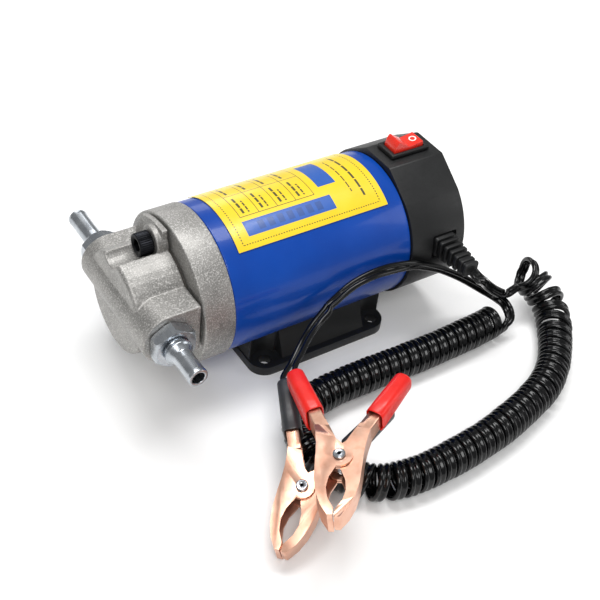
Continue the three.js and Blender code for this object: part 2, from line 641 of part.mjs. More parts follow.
// One half of a clamp: a folded channel, its web along the outer edge.
function jawHalf(height) {
  const inner = height / 2 - CLAMP.metal;
  const [root, end] = [height, height - CLAMP.taper];
  const handle = handleBar([5, 4.4], [root, end], 0, 0.3);
  const handleInside = handleBar([5, 4.4], [root - 1.8, end - 1.8], 1, 0.01, 13).translate([-0.6, 1, 0]);
  const full = join(prismZ(jawOutline(), -height / 2, height / 2, 4), handle);
  const hollow = prismZ(jawOutline(), -inner, inner, 4).translate([-0.8, 1.1, 0]);
  const ears = box([-7, 7], [-0.6, 8], [-inner, inner]);
  return cut(full, hollow, handleInside, ears, rod('z', 1.9, -height, height, [0, 0], 12));
}

function handleSleeve(height) {
  const [root, end] = [height, height - CLAMP.taper];
  const start = 14 + Math.hypot(CLAMP.spread - 7.8, CLAMP.handle - 14) - CLAMP.sleeve;
  const outside = handleBar([7.6, 7], [end + 0.76 * CLAMP.taper + 2.4, end + 2.4], 1.4, 0.9, start);
  const pocket = handleBar([5.7, 5.1], [root + 2 * GAP, end + 2 * GAP], GAP, 0.3, 12);
  return cut(outside, pocket);
}

function rivet(height) {
  const head = height / 2 + GAP;
  return cut(
    join(
      rod('z', 1.6, -head - 0.5, head + 0.5, [0, 0], 12),
      rod('z', 3, head, head + 0.9, [0, 0], 16),
      rod('z', 3, -head - 0.9, -head, [0, 0], 16),
    ),
    rod('z', 0.8, -head - 1, head + 1, [0, 0], 8),
  );
}

const INNER_HEIGHT = CLAMP.height - 2 * CLAMP.metal - 2 * GAP;

function addClamp(colour, sleeveLook, place) {
  const pieces = [
    ['fixed_jaw', jawHalf(CLAMP.height), copperPlate],
    ['moving_jaw', jawHalf(INNER_HEIGHT).mirror([0, 1, 0]), copperPlate],
    ['rivet', rivet(CLAMP.height), zincSteel],
    ['spring', ring('z', 2, 3.6, -2.6, 2.6, [0, 0], 14), zincSteel],
    ['fixed_sleeve', handleSleeve(CLAMP.height), sleeveLook],
    ['moving_sleeve', handleSleeve(INNER_HEIGHT).mirror([0, 1, 0]), sleeveLook],
  ];
  const frame = new THREE.Group();
  frame.position.set(...place.pivot);
  frame.rotation.order = 'ZYX';
  frame.rotation.set(place.roll, place.pitch, place.heading);
  for (const [piece, solid, look] of pieces) {
    const mesh = new THREE.Mesh(toGeometry(solid), look);
    mesh.name = `${colour}_clamp_${piece}`;
    frame.add(mesh);
  }
  pump.add(frame);
}

const turned = (heading, pitch, roll) => ({
  heading: THREE.MathUtils.degToRad(heading),
  pitch: THREE.MathUtils.degToRad(pitch),
  roll: THREE.MathUtils.degToRad(roll),
});
const BLACK_CLAMP = { pivot: [-46.4, -99.7, 14.3], ...turned(219.4, 18, 6) };
const RED_CLAMP = { pivot: [-39.3, -109.5, 37.3], ...turned(231, 2, 10) };
addClamp('black', blackVinyl, BLACK_CLAMP);
addClamp('red', redVinyl, RED_CLAMP);

// ---------- lead ----------
const along = (points) => new THREE.CatmullRomCurve3(points.map((p) => new THREE.Vector3(...p)), false, 'centripetal');

function tube(points, radius, steps, sides) {
  const section = new THREE.Shape();
  for (let i = 0; i < sides; i += 1) {
    const at = 2 * Math.PI * i / sides;
    const place = [radius * Math.cos(at), radius * Math.sin(at)];
    if (i === 0) section.moveTo(...place);
    else section.lineTo(...place);
  }
  return toSolid(new THREE.ExtrudeGeometry(section, { extrudePath: along(points), steps }));
}

const LEAD = [
  [67.8, -54.2, 46.1], [68.6, -57.6, 44.6], [73, -56, 40.2], [77.5, -53, 35.8], [81.8, -50.6, 31.1],
  [86.5, -49.7, 26.1], [91.6, -50.1, 21.6], [97.6, -50.8, 18],
];
const COIL = [
  [109.6, -45.4, 22.8], [113.3, -46, 19.8], [116.8, -51.2, 16.2], [118.6, -57.3, 12.2], [117.2, -64.5, 9.2],
  [112, -72.5, 8], [104.6, -81.1, 8], [94.7, -90.5, 8], [82.8, -98, 8], [69.8, -102.7, 8], [55, -106.5, 8],
  [41.7, -109, 8], [18.5, -111, 8], [-1.8, -110.4, 8], [-15.5, -106, 8], [-25, -95, 8], [-29.4, -82, 8],
  [-27.4, -69, 8], [-20.5, -60, 8], [-8, -56.5, 8], [17, -56, 8], [49.5, -56.8, 8], [83.8, -55.5, 8],
  [90.6, -54.4, 8],
];
const TAIL = [
  [94.6, -59.7, 11], [95.2, -57.2, 13.8], [96.2, -52.3, 14.4], [96.3, -46.3, 13.4], [91.4, -42.4, 16.5],
  [80.2, -38.8, 25], [67.8, -37, 33.5], [57.5, -36.8, 39.5], [47.7, -37.2, 44.5], [37, -37.4, 47],
  [26.4, -37.6, 48], [14.9, -38, 46.5], [2.7, -39, 40.5],
];
const BLACK_WIRE = [
  [1.2, -38.2, 39], [-5.5, -39.5, 33.5], [-13.5, -43.5, 28.5], [-21.5, -49, 26], [-28.6, -54.4, 25.4],
];
const RED_WIRE = [
  [1.4, -41.6, 39.9], [-4.5, -43.5, 37.5], [-12.5, -48, 36.5], [-20.4, -54.2, 36.2], [-26.6, -59, 35.8],
];

add('lead_cable', tube(LEAD, LEAD_R, 8, 8), cordVinyl);
add('lead_coil', tube(COIL, COIL_R, 44, 10), cordVinyl);
add('tail_cable', tube(TAIL, LEAD_R, 16, 8), cordVinyl);
add('black_wire', tube(BLACK_WIRE, WIRE_R, 6, 8), cordVinyl);
add('red_wire', tube(RED_WIRE, WIRE_R, 6, 8), cordVinyl);

export default pump;
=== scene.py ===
import json
import math

import bmesh
import bpy
import numpy as np
from mathutils import Matrix, Vector


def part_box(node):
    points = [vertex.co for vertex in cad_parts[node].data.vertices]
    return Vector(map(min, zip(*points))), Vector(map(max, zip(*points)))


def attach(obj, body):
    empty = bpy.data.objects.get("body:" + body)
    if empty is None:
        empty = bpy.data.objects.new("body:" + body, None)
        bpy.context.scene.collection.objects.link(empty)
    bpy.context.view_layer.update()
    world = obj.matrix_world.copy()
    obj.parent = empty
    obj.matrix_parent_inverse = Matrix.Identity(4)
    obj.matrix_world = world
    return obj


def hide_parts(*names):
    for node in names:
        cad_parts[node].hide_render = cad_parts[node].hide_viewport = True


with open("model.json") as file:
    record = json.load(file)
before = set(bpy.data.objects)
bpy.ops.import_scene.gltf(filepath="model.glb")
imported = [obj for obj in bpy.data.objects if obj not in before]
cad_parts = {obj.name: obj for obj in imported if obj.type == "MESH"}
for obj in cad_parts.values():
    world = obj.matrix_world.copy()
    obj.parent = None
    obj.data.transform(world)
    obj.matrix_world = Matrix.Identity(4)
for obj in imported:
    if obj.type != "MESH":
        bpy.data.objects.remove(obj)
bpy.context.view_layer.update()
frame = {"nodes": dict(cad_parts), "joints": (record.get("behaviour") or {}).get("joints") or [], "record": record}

MM = 0.001

# ---------- sizes, as in the part ----------
AXIS_Z = 42
X_BELL = (-53.5, -39.3)
X_TUBE = (-39, 49.6)
X_REAR = 80
TUBE_R = (31, 33)
BELL_R = 33.5
CAP_R = 34.1
CAP_WALL = 2.8
CAP_FLAT = (35, 9)              # height above the axis, half width
CAP_SLOPE_FOOT = (29, 17.5)
BOLT_AT = [(27.8 * math.cos(a), AXIS_Z + 27.8 * math.sin(a)) for a in (math.radians(68), math.radians(248))]
PORT = (-68.5, 46)
ARM_END = {"near": 31, "far": 25.8}
TIP_Y = 55
FILM_SPAN = (52, 132)           # degrees round the tube, from the near side upwards
FILM_R = (33.3, 33.55)
MARK = {"x": 69.3, "z": 80.93, "tilt": -8.9}
BOOT_X, BOOT_Z = 67.8, 46.2
BOOT_NECK = (3.3, 2.8, 0.9)     # half width, half height and corner radius between the ribs
CONDUCTOR_R = 1.16
TWIN_HALF = 1.31               # from the middle of the flat lead to the middle of a conductor
TWIN_WIDTH = 2 * (TWIN_HALF + CONDUCTOR_R)
LOWEST = 1.6                    # the middle of the lead where it lies on the bench
COIL_R = 6.5                    # middle of the lead to the middle of the coil
LOOSE_R = 7.3                   # the same, in the first loose turns


# ---------- small geometry helpers ----------
def new_object(name, verts, faces):
    mesh = bpy.data.meshes.new(name)
    mesh.from_pydata([tuple(c * MM for c in v) for v in verts], [], faces)
    obj = bpy.data.objects.new(name, mesh)
    bpy.context.scene.collection.objects.link(obj)
    edit = bmesh.new()
    edit.from_mesh(mesh)
    bmesh.ops.recalc_face_normals(edit, faces=edit.faces)
    edit.to_mesh(mesh)
    edit.free()
    return obj


def rounded(points, radius, steps=4):
    """A closed outline with its corners rounded. radius is one number, or one for each corner."""
    outline = []
    count = len(points)
    for i in range(count):
        r = radius[i] if isinstance(radius, (list, tuple)) else radius
        before, here, after = (Vector(points[(i + k) % count]) for k in (-1, 0, 1))
        u, v = (before - here), (after - here)
        room = 0.49 * min(u.length, v.length)
        u.normalize()
        v.normalize()
        half = u.angle(v) / 2
        straight_on = half > 1.55
        if r <= 0 or straight_on:
            outline.append(tuple(here))
            continue
        reach = min(r / math.tan(half), room)
        centre = here + (u + v).normalized() * (reach / math.cos(half))
        first, last = here + u * reach - centre, here + v * reach - centre
        turn = first.angle(last)
        for k in range(steps + 1):
            t = k / steps
            arm = (first * math.sin((1 - t) * turn) + last * math.sin(t * turn)) / math.sin(turn)
            outline.append(tuple(centre + arm))
    return outline


def rounded_box(half_x, half_y, radius, steps=4):
    corners = [(-half_x, -half_y), (half_x, -half_y), (half_x, half_y), (-half_x, half_y)]
    return rounded(corners, radius, steps)


def circle(radius, segments, centre=(0, 0)):
    turns = [2 * math.pi * i / segments for i in range(segments)]
    return [(centre[0] + radius * math.cos(t), centre[1] + radius * math.sin(t)) for t in turns]


def middle_of(node):
    """The middle of a CAD node's box, in millimetres."""
    low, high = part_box(node)
    return [(a + b) / 2 / MM for a, b in zip(low, high)]


def loft(name, rings, looped=False):
    """A skin over rings of equal length. It is capped at both ends, unless it closes on itself."""
    n, count = len(rings[0]), len(rings)
    verts = [p for ring in rings for p in ring]
    faces = []
    for i in range(count if looped else count - 1):
        a, b = i * n, ((i + 1) % count) * n
        faces += [(a + j, a + (j + 1) % n, b + (j + 1) % n, b + j) for j in range(n)]
    if not looped:
        faces += [tuple(reversed(range(n))), tuple((count - 1) * n + j for j in range(n))]
    return new_object(name, verts, faces)


def placed(axis, along, a, b):
    return {"x": (along, a, b), "y": (a, along, b), "z": (a, b, along)}[axis]


def lathe(name, axis, centre, profile, segments=96, looped=True):
    """Turns (radius, along) points about an axis through centre."""
    turns = [2 * math.pi * i / segments for i in range(segments)]
    rings = [
        [placed(axis, at, centre[0] + r * math.cos(t), centre[1] + r * math.sin(t)) for t in turns]
        for r, at in profile
    ]
    return loft(name, rings, looped)


def prism(name, axis, outline, start, end, edge=0.0, steps=3):
    """An outline pushed along an axis, with its two rims rounded by edge."""
    middle = Vector((0, 0))
    for p in outline:
        middle += Vector(p) / len(outline)
    reach = max((Vector(p) - middle).length for p in outline)
    stages = list(range(steps + 1)) if edge else [steps]
    rings = []
    for at, side, k in [(start, 1, k) for k in stages] + [(end, -1, k) for k in reversed(stages)]:
        turn = math.pi / 2 * k / steps
        grow = 1 - edge * (1 - math.sin(turn)) / reach
        depth = edge * (1 - math.cos(turn))
        flat = [middle + (Vector(p) - middle) * grow for p in outline]
        rings.append([placed(axis, at + side * depth, p.x, p.y) for p in flat])
    return loft(name, rings)


def drop(obj):
    mesh = obj.data
    bpy.data.objects.remove(obj)
    bpy.data.meshes.remove(mesh)


def applied(obj):
    """Bakes the object's modifiers into its mesh."""
    graph = bpy.context.evaluated_depsgraph_get()
    mesh = bpy.data.meshes.new_from_object(obj.evaluated_get(graph))
    obj.modifiers.clear()
    obj.data = mesh
    return obj


def combine(obj, operation, *tools):
    for tool in tools:
        modifier = obj.modifiers.new("combine", "BOOLEAN")
        modifier.operation = operation
        modifier.solver = "EXACT"
        modifier.object = tool
        applied(obj)
        drop(tool)
    return obj


def cut(obj, *tools):
    return combine(obj, "DIFFERENCE", *tools)


def weld(obj, *tools):
    return combine(obj, "UNION", *tools)


def bevelled(obj, width, segments):
    modifier = obj.modifiers.new("bevel", "BEVEL")
    modifier.width = width * MM
    modifier.segments = segments
    modifier.limit_method = "ANGLE"
    modifier.angle_limit = math.radians(30)
    return applied(obj)


def remeshed(obj, voxel, passes):
    """Melts an assembly of blocks into one skin with small cast fillets, and thins the mesh."""
    modifier = obj.modifiers.new("melt", "REMESH")
    modifier.mode = "VOXEL"
    modifier.voxel_size = voxel * MM
    applied(obj)
    modifier = obj.modifiers.new("soften", "SMOOTH")
    modifier.factor = 0.5
    modifier.iterations = passes
    applied(obj)
    modifier = obj.modifiers.new("thin", "DECIMATE")
    modifier.ratio = 0.45
    return applied(obj)


def shaded(obj, angle=32):
    """Smooth shading, with hard edges kept where faces meet at more than angle."""
    edit = bmesh.new()
    edit.from_mesh(obj.data)
    for face in edit.faces:
        face.smooth = True
    for edge in edit.edges:
        edge.smooth = len(edge.link_faces) == 2 and edge.calc_face_angle(0) < math.radians(angle)
    edit.to_mesh(obj.data)
    edit.free()
    return obj


def node_copy(name, node, merge=0.001):
    """A new piece that starts from a CAD node's shape, with its flat faces made whole.
    Corners closer than merge millimetres become one."""
    mesh = frame["nodes"][node].data.copy()
    mesh.name = name
    mesh.materials.clear()
    obj = bpy.data.objects.new(name, mesh)
    bpy.context.scene.collection.objects.link(obj)
    edit = bmesh.new()
    edit.from_mesh(mesh)
    bmesh.ops.remove_doubles(edit, verts=edit.verts, dist=merge * MM)
    bmesh.ops.dissolve_limit(edit, angle_limit=math.radians(1), verts=edit.verts, edges=edit.edges)
    edit.to_mesh(mesh)
    edit.free()
    return obj


def body_of(node):
    for body, members in frame["record"]["behaviour"]["bodies"].items():
        if node in members:
            return body
    return "pump"


def stands_for(obj, nodes, slot):
    """Gives a piece the material of its slot, its body and the CAD nodes that it replaces."""
    nodes = [nodes] if isinstance(nodes, str) else nodes
    obj.data.materials.clear()
    obj.data.materials.append(MATERIALS[slot])
    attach(obj, body_of(nodes[0]))
    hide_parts(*nodes)


# ---------- materials ----------
class Surface:
    """A Principled material with colour, roughness and relief worked out from object space."""

    def __init__(self, name, metallic=0.0, coat=0.0, coat_roughness=0.05, specular=0.5):
        self.material = bpy.data.materials.new(name)
        self.material.use_nodes = True
        self.tree = self.material.node_tree
        self.tree.nodes.clear()
        output = self.tree.nodes.new("ShaderNodeOutputMaterial")
        self.shader = self.tree.nodes.new("ShaderNodeBsdfPrincipled")
        self.tree.links.new(self.shader.outputs[0], output.inputs[0])
        self.shader.inputs["Metallic"].default_value = metallic
        self.shader.inputs["Coat Weight"].default_value = coat
        self.shader.inputs["Coat Roughness"].default_value = coat_roughness
        self.shader.inputs["Specular IOR Level"].default_value = specular
        self.space = self.tree.nodes.new("ShaderNodeTexCoord").outputs["Object"]
        self.relief = None

    def node(self, kind, inputs=(), **settings):
        made = self.tree.nodes.new("ShaderNode" + kind)
        for key, value in settings.items():
            setattr(made, key, value)
        for key, value in dict(inputs).items():
            if isinstance(value, bpy.types.NodeSocket):
                self.tree.links.new(value, made.inputs[key])
            else:
                made.inputs[key].default_value = value
        return made.outputs

    def maths(self, operation, a, b=0.0, c=0.0):
        return self.node("Math", {0: a, 1: b, 2: c}, operation=operation)[0]

    def stretched(self, scale):
        return self.node("Mapping", {"Vector": self.space, "Scale": scale})[0]

    def noise(self, size, detail=3.0, vector=None):
        """Noise with features of about size millimetres."""
        inputs = {"Vector": vector or self.space, "Scale": 1 / (size * MM), "Detail": detail}
        return self.node("TexNoise", inputs)["Fac"]

    def cells(self, size):
        """Distance to the middle of the nearest cell, for cells of about size millimetres."""
        return self.node("TexVoronoi", {"Vector": self.space, "Scale": 1 / (size * MM)})["Distance"]

    def remap(self, value, low, high, start=0.3, end=0.7):
        inputs = {"Value": value, "From Min": start, "From Max": end, "To Min": low, "To Max": high}
        return self.node("MapRange", inputs)["Result"]

    def mixed(self, factor, a, b):
        outputs = self.node("Mix", {"Factor": factor, 6: a, 7: b}, data_type="RGBA")
        return outputs[2]

    def set(self, socket, value):
        self.tree.links.new(value, self.shader.inputs[socket])

    def bump(self, height, depth, strength=1.0):
        """Adds relief: height from 0 to 1 stands for depth millimetres."""
        inputs = {"Height": height, "Distance": depth * MM, "Strength": strength}
        if self.relief is not None:
            inputs["Normal"] = self.relief
        self.relief = self.node("Bump", inputs)[0]
        self.set("Normal", self.relief)


def colour(hexa):
    """A screen colour such as 1f5fd0 as linear RGBA."""
    parts = [int(hexa[i:i + 2], 16) / 255 for i in (0, 2, 4)]
    return tuple(((c + 0.055) / 1.055) ** 2.4 if c > 0.04045 else c / 12.92 for c in parts) + (1.0,)


def plain_surface(name, dark, light, rough, size=6.0, grain=(), **shader):
    """Two close colours in soft patches, a roughness range and layers of fine relief."""
    s = Surface(name, **shader)
    patches = s.noise(size, 4.0)
    s.set("Base Color", s.mixed(s.remap(patches, 0, 1), colour(dark), colour(light)))
    s.set("Roughness", s.remap(s.noise(size / 3, 3.0), *rough))
    for feature, depth in grain:
        s.bump(s.noise(feature, 2.0), depth)
    return s.material


def cast_aluminium():
    s = Surface("cast_aluminium", metallic=0.82)
    speckle = s.noise(0.55, 3.0)
    patches = s.noise(9.0, 4.0)
    base = s.mixed(s.remap(patches, 0, 1), colour("8a8986"), colour("a09e9b"))
    sparkle = s.mixed(s.remap(speckle, 0, 1, 0.5, 0.66), base, colour("c8c6c3"))
    # Dark dots at the middles of small cells: painted shade where casting pits would be, as the pits have no
    # relief of their own
    pit_shade = s.remap(s.cells(1.1), 1, 0, 0.05, 0.3)
    s.set("Base Color", s.mixed(s.maths("MULTIPLY", pit_shade, 0.55), sparkle, colour("55534f")))
    s.set("Roughness", s.remap(speckle, 0.42, 0.62))
    s.bump(speckle, 0.08)
    s.bump(s.noise(2.6, 3.0), 0.04)
    return s.material


def blue_enamel():
    s = Surface("blue_enamel", coat=0.25, coat_roughness=0.1, specular=0.2)
    base = s.mixed(s.remap(s.noise(30.0), 0, 1), colour("033a92"), colour("0545a4"))
    dust = s.remap(s.noise(0.5, 2.0), 0, 0.25, 0.66, 0.74)
    s.set("Base Color", s.mixed(dust, base, colour("1f5cbc")))
    s.set("Roughness", s.remap(s.noise(5.0), 0.3, 0.38))
    s.bump(s.noise(1.6, 2.0), 0.012)
    return s.material


def moulded_black(name, dark, light, rough, spark=0.35, depth=0.02):
    s = Surface(name, specular=0.45)
    s.set("Base Color", s.mixed(s.remap(s.noise(7.0, 4.0), 0, 1), colour(dark), colour(light)))
    s.set("Roughness", s.remap(s.noise(1.1, 3.0), *rough))
    s.bump(s.noise(spark, 2.0), depth)
    s.bump(s.noise(14.0, 2.0), 0.08)
    return s.material


def plated(name, dark, light, rough, streak=(1, 1, 1), depth=0.008, blush=None):
    """Bright plating over pressed or turned metal, with faint drawn streaks."""
    s = Surface(name, metallic=1.0)
    along = s.noise(2.2, 4.0, s.stretched(streak))
    base = s.mixed(s.remap(s.noise(5.0, 4.0), 0, 1), colour(dark), colour(light))
    if blush:
        base = s.mixed(s.remap(s.noise(3.0, 5.0), 0, 0.5, 0.52, 0.75), base, colour(blush))
    s.set("Base Color", base)
    s.set("Roughness", s.remap(along, *rough))
    s.bump(along, depth)
    s.bump(s.noise(0.4, 2.0), depth / 3)
    return s.material


def rating_film():
    """The label: yellow film with a stitched border, a blue band, and a table of plain bars.
    Its areas are set in millimetres along the motor and in degrees round it, from the near side."""
    s = Surface("label_film", coat=0.3, coat_roughness=0.15)
    x, y, z = s.node("SeparateXYZ", {0: s.space})[:]
    along = s.maths("MULTIPLY", x, 1 / MM)
    rise = s.maths("SUBTRACT", z, AXIS_Z * MM)
    angle = s.maths("ARCTAN2", rise, s.maths("MULTIPLY", y, -1.0))
    round_way = s.maths("MULTIPLY", angle, 180 / math.pi)

    def between(value, low, high):
        above = s.maths("GREATER_THAN", value, low)
        return s.maths("MULTIPLY", above, s.maths("LESS_THAN", value, high))

    def area(x0, x1, a0, a1):
        return s.maths("MULTIPLY", between(along, x0, x1), between(round_way, a0, a1))

    def either(*masks):
        total = masks[0]
        for mask in masks[1:]:
            total = s.maths("MAXIMUM", total, mask)
        return total

    def dashes(value, pitch, fill):
        return s.maths("LESS_THAN", s.maths("FRACT", s.maths("DIVIDE", value, pitch)), fill)

    yellow = s.mixed(s.remap(s.noise(12.0), 0, 1), colour("e9c61e"), colour("efcf26"))
    ends = either(area(-29.2, -28.7, 56, 128), area(38.7, 39.2, 56, 128))
    sides = either(area(-29, 39, 55.6, 56.3), area(-29, 39, 127.7, 128.4))
    stitches = either(
        s.maths("MULTIPLY", ends, dashes(round_way, 2.2, 0.55)),
        s.maths("MULTIPLY", sides, dashes(along, 1.25, 0.55)),
    )
    rules = [area(x0, x0 + 0.3, 76.8, 125.4) for x0 in (-24.5, -15.5, -6.5, 2.5, 11.5)]
    rules += [area(-24.5, 11.8, a, a + 0.55) for a in (76.6, 101, 125)]
    bars = []
    for x0 in (-22.3, -13.3, -4.3, 4.7):
        bars.append(s.maths("MULTIPLY", area(x0, x0 + 1.1, 79.5, 97), dashes(round_way, 6.1, 0.86)))
        bars.append(s.maths("MULTIPLY", area(x0 + 2.7, x0 + 3.5, 79.5, 92), dashes(round_way, 4.3, 0.84)))
        bars.append(s.maths("MULTIPLY", area(x0, x0 + 1.1, 104, 120), dashes(round_way, 7.3, 0.88)))
    title = s.maths("MULTIPLY", area(32.8, 33.9, 64, 117), dashes(round_way, 8.9, 0.88))
    line = s.maths("MULTIPLY", area(28.3, 28.9, 70, 110), dashes(round_way, 6.7, 0.86))
    ink = either(stitches, title, line, *rules, *bars)
    band = area(-25, 18, 61, 73)
    stamp = area(15.5, 24.5, 82, 116)
    strokes = s.maths("MULTIPLY", area(-20, 13, 63.6, 70.4), dashes(along, 4.7, 0.62))
    outline = s.maths("MULTIPLY", strokes, 0.45)
    printed = s.mixed(ink, yellow, colour("4a4726"))
    blued = s.mixed(either(band, stamp), printed, colour("2358ab"))
    s.set("Base Color", s.mixed(outline, blued, colour("12305f")))
    s.set("Roughness", s.remap(s.noise(4.0), 0.3, 0.4))
    s.bump(s.noise(6.0, 2.0), 0.03)
    return s.material


def pale_floor():
    s = Surface("pale_floor", specular=0.2)
    s.set("Base Color", s.mixed(s.remap(s.noise(120.0), 0, 1), colour("fbfbfa"), colour("ffffff")))
    s.set("Roughness", s.remap(s.noise(40.0), 0.75, 0.85))
    return s.material


MATERIALS = {
    "cast_aluminium": cast_aluminium(),
    "blue_enamel": blue_enamel(),
    "label_film": rating_film(),
    "black_plastic": moulded_black("black_plastic", "0f1011", "161718", (0.4, 0.52)),
    "boot_rubber": moulded_black("boot_rubber", "0c0d0e", "131416", (0.45, 0.58), 0.3, 0.012),
    "red_plastic": plain_surface(
        "red_plastic", "d92517", "e63322", (0.22, 0.3), 5.0, [(0.6, 0.006)], coat=0.3),
    "mark_paint": plain_surface("mark_paint", "f4ded8", "fdf2ee", (0.4, 0.5), 1.0, [(0.3, 0.01)]),
    "zinc_steel": plated("zinc_steel", "a3a8ae", "c0c5ca", (0.2, 0.3), (1, 0.15, 1), 0.0015),
    "black_steel": plated("black_steel", "17181b", "2a2b2f", (0.34, 0.5), (0.3, 1, 1), 0.015),
    "gear_steel": plated("gear_steel", "80848a", "9ba0a5", (0.22, 0.36), (0.1, 1, 1)),
    "copper_plate": plated("copper_plate", "dca88f", "e8bca4", (0.3, 0.4), (0.4, 0.4, 1), 0.003, "cf9579"),
    "red_vinyl": plain_surface("red_vinyl", "d8170e", "e6241a", (0.3, 0.42), 6.0, [(2.2, 0.05), (0.5, 0.01)]),
    "black_vinyl": plain_surface(
        "black_vinyl", "2a2c2f", "35383c", (0.32, 0.44), 6.0, [(2.2, 0.05), (0.5, 0.01)]),
    "cord_vinyl": plain_surface(
        "cord_vinyl", "040506", "090a0b", (0.12, 0.2), 8.0, [(3.0, 0.03), (0.6, 0.004)], specular=0.35),
    "gasket_paper": plain_surface("gasket_paper", "3b3833", "55504a", (0.85, 0.95), 2.0, [(0.4, 0.04)]),
    "seal_rubber": plain_surface("seal_rubber", "141416", "202124", (0.5, 0.65), 2.0, [(0.3, 0.01)]),
    "electrical_steel": plated("electrical_steel", "6a6d71", "85888c", (0.35, 0.5), (4, 1, 1), 0.02),
    "ferrite": plain_surface("ferrite", "2a2a30", "3a3a41", (0.6, 0.75), 3.0, [(0.5, 0.03)]),
    "copper": plated("copper", "a8562a", "c67642", (0.25, 0.4), (0.2, 3, 3), 0.05),
    "bronze": plated("bronze", "8f6430", "b0813f", (0.35, 0.5), (1, 1, 1), 0.02),
    "phenolic": plain_surface("phenolic", "583a20", "75512f", (0.5, 0.65), 4.0, [(0.6, 0.02)]),
    "carbon": plain_surface("carbon", "1d1d20", "2c2c30", (0.6, 0.8), 1.5, [(0.3, 0.02)]),
}


def dress_nodes():
    """Gives every CAD node the material of its slot in the record."""
    slot_of = {row["node"]: row["material_slot"] for row in frame["record"]["subparts"]}
    for name, obj in frame["nodes"].items():
        material = MATERIALS[slot_of[name]]
        if not obj.material_slots:
            obj.data.materials.append(material)
        for holder in obj.material_slots:
            holder.material = material


# ---------- curves ----------
def spline(points, per_span=16):
    """Centripetal Catmull-Rom curve through points, as an array of points."""
    p = np.array(points, float)
    p = np.vstack([2 * p[0] - p[1], p, 2 * p[-1] - p[-2]])
    out = []
    for i in range(1, len(p) - 2):
        q = p[i - 1:i + 3]
        gaps = np.maximum(np.linalg.norm(np.diff(q, axis=0), axis=1), 1e-6) ** 0.5
        t = np.concatenate([[0], np.cumsum(gaps)])
        for u in np.linspace(t[1], t[2], per_span, endpoint=False):
            a = [((t[k + 1] - u) * q[k] + (u - t[k]) * q[k + 1]) / (t[k + 1] - t[k]) for k in range(3)]
            b = [((t[k + 2] - u) * a[k] + (u - t[k]) * a[k + 1]) / (t[k + 2] - t[k]) for k in range(2)]
            out.append(((t[2] - u) * b[0] + (u - t[1]) * b[1]) / (t[2] - t[1]))
    out.append(p[-2])
    return np.array(out)


def lengths(path):
    return np.concatenate([[0], np.cumsum(np.linalg.norm(np.diff(path, axis=0), axis=1))])


def evenly(path, step):
    run = lengths(path)
    at = np.linspace(0, run[-1], max(2, int(round(run[-1] / step)) + 1))
    return np.column_stack([np.interp(at, run, path[:, k]) for k in range(3)])


def unit(vectors):
    return vectors / np.linalg.norm(vectors, axis=-1, keepdims=True)


def sweep(name, path, widths, outline):
    """Pushes a flat outline along a path. widths gives the outline's first axis at each point."""
    ahead = unit(np.gradient(path, axis=0))
    wide = unit(widths - (widths * ahead).sum(axis=1)[:, None] * ahead)
    thin = np.cross(ahead, wide)
    rings = [[tuple(p + a * w + b * t) for a, b in outline] for p, w, t in zip(path, wide, thin)]
    return loft(name, rings)


# ---------- camera, light and floor ----------
def camera():
    """A view from above the near side of the pump head. Its right and up axes give its aim."""
    data = bpy.data.cameras.new("camera")
    data.lens = 65.52
    data.sensor_width = 36
    data.clip_start = 0.01
    obj = bpy.data.objects.new("camera", data)
    right = Vector((0.83750, -0.53872, 0.09148))
    up = Vector((0.30542, 0.60032, 0.73914))
    back = right.cross(up).normalized()
    rows = Matrix((right, up, back)).transposed()
    obj.matrix_world = Matrix.Translation(Vector((-214.73, -302.28, 347.52)) * MM) @ rows.to_4x4()
    bpy.context.scene.collection.objects.link(obj)
    bpy.context.scene.camera = obj


def softbox(name, place, aim, size, power):
    data = bpy.data.lights.new(name, "AREA")
    data.shape = "RECTANGLE"
    data.size, data.size_y = size
    data.energy = power
    obj = bpy.data.objects.new(name, data)
    direction = Vector(aim) - Vector(place)
    obj.rotation_euler = direction.to_track_quat("-Z", "Y").to_euler()
    obj.location = place
    bpy.context.scene.collection.objects.link(obj)


def studio():
    """Four soft lights under a white sky, and a plain pale floor."""
    world = bpy.data.worlds.new("studio")
    bpy.context.scene.world = world
    world.use_nodes = True
    sky = world.node_tree.nodes["Background"]
    sky.inputs["Color"].default_value = (1.0, 1.0, 1.0, 1.0)
    sky.inputs["Strength"].default_value = 0.34
    softbox("key", (-0.35, -0.55, 0.75), (0, 0, 0.03), (0.4, 0.4), 3.6)
    softbox("top", (0.05, 0.1, 0.8), (0, 0, 0.03), (0.6, 0.25), 4.6)
    softbox("side", (0.65, -0.45, 0.35), (0.03, -0.03, 0.03), (0.25, 0.4), 0.8)
    softbox("rear", (0.1, 0.7, 0.4), (0, 0, 0.05), (0.5, 0.25), 1.2)
    corners = [(-1500, -1500, 0), (1500, -1500, 0), (1500, 1500, 0), (-1500, 1500, 0)]
    floor = new_object("floor", corners, [(0, 1, 2, 3)])
    floor.data.materials.append(pale_floor())
    bpy.context.scene.view_settings.view_transform = "Standard"


camera()
studio()
dress_nodes()

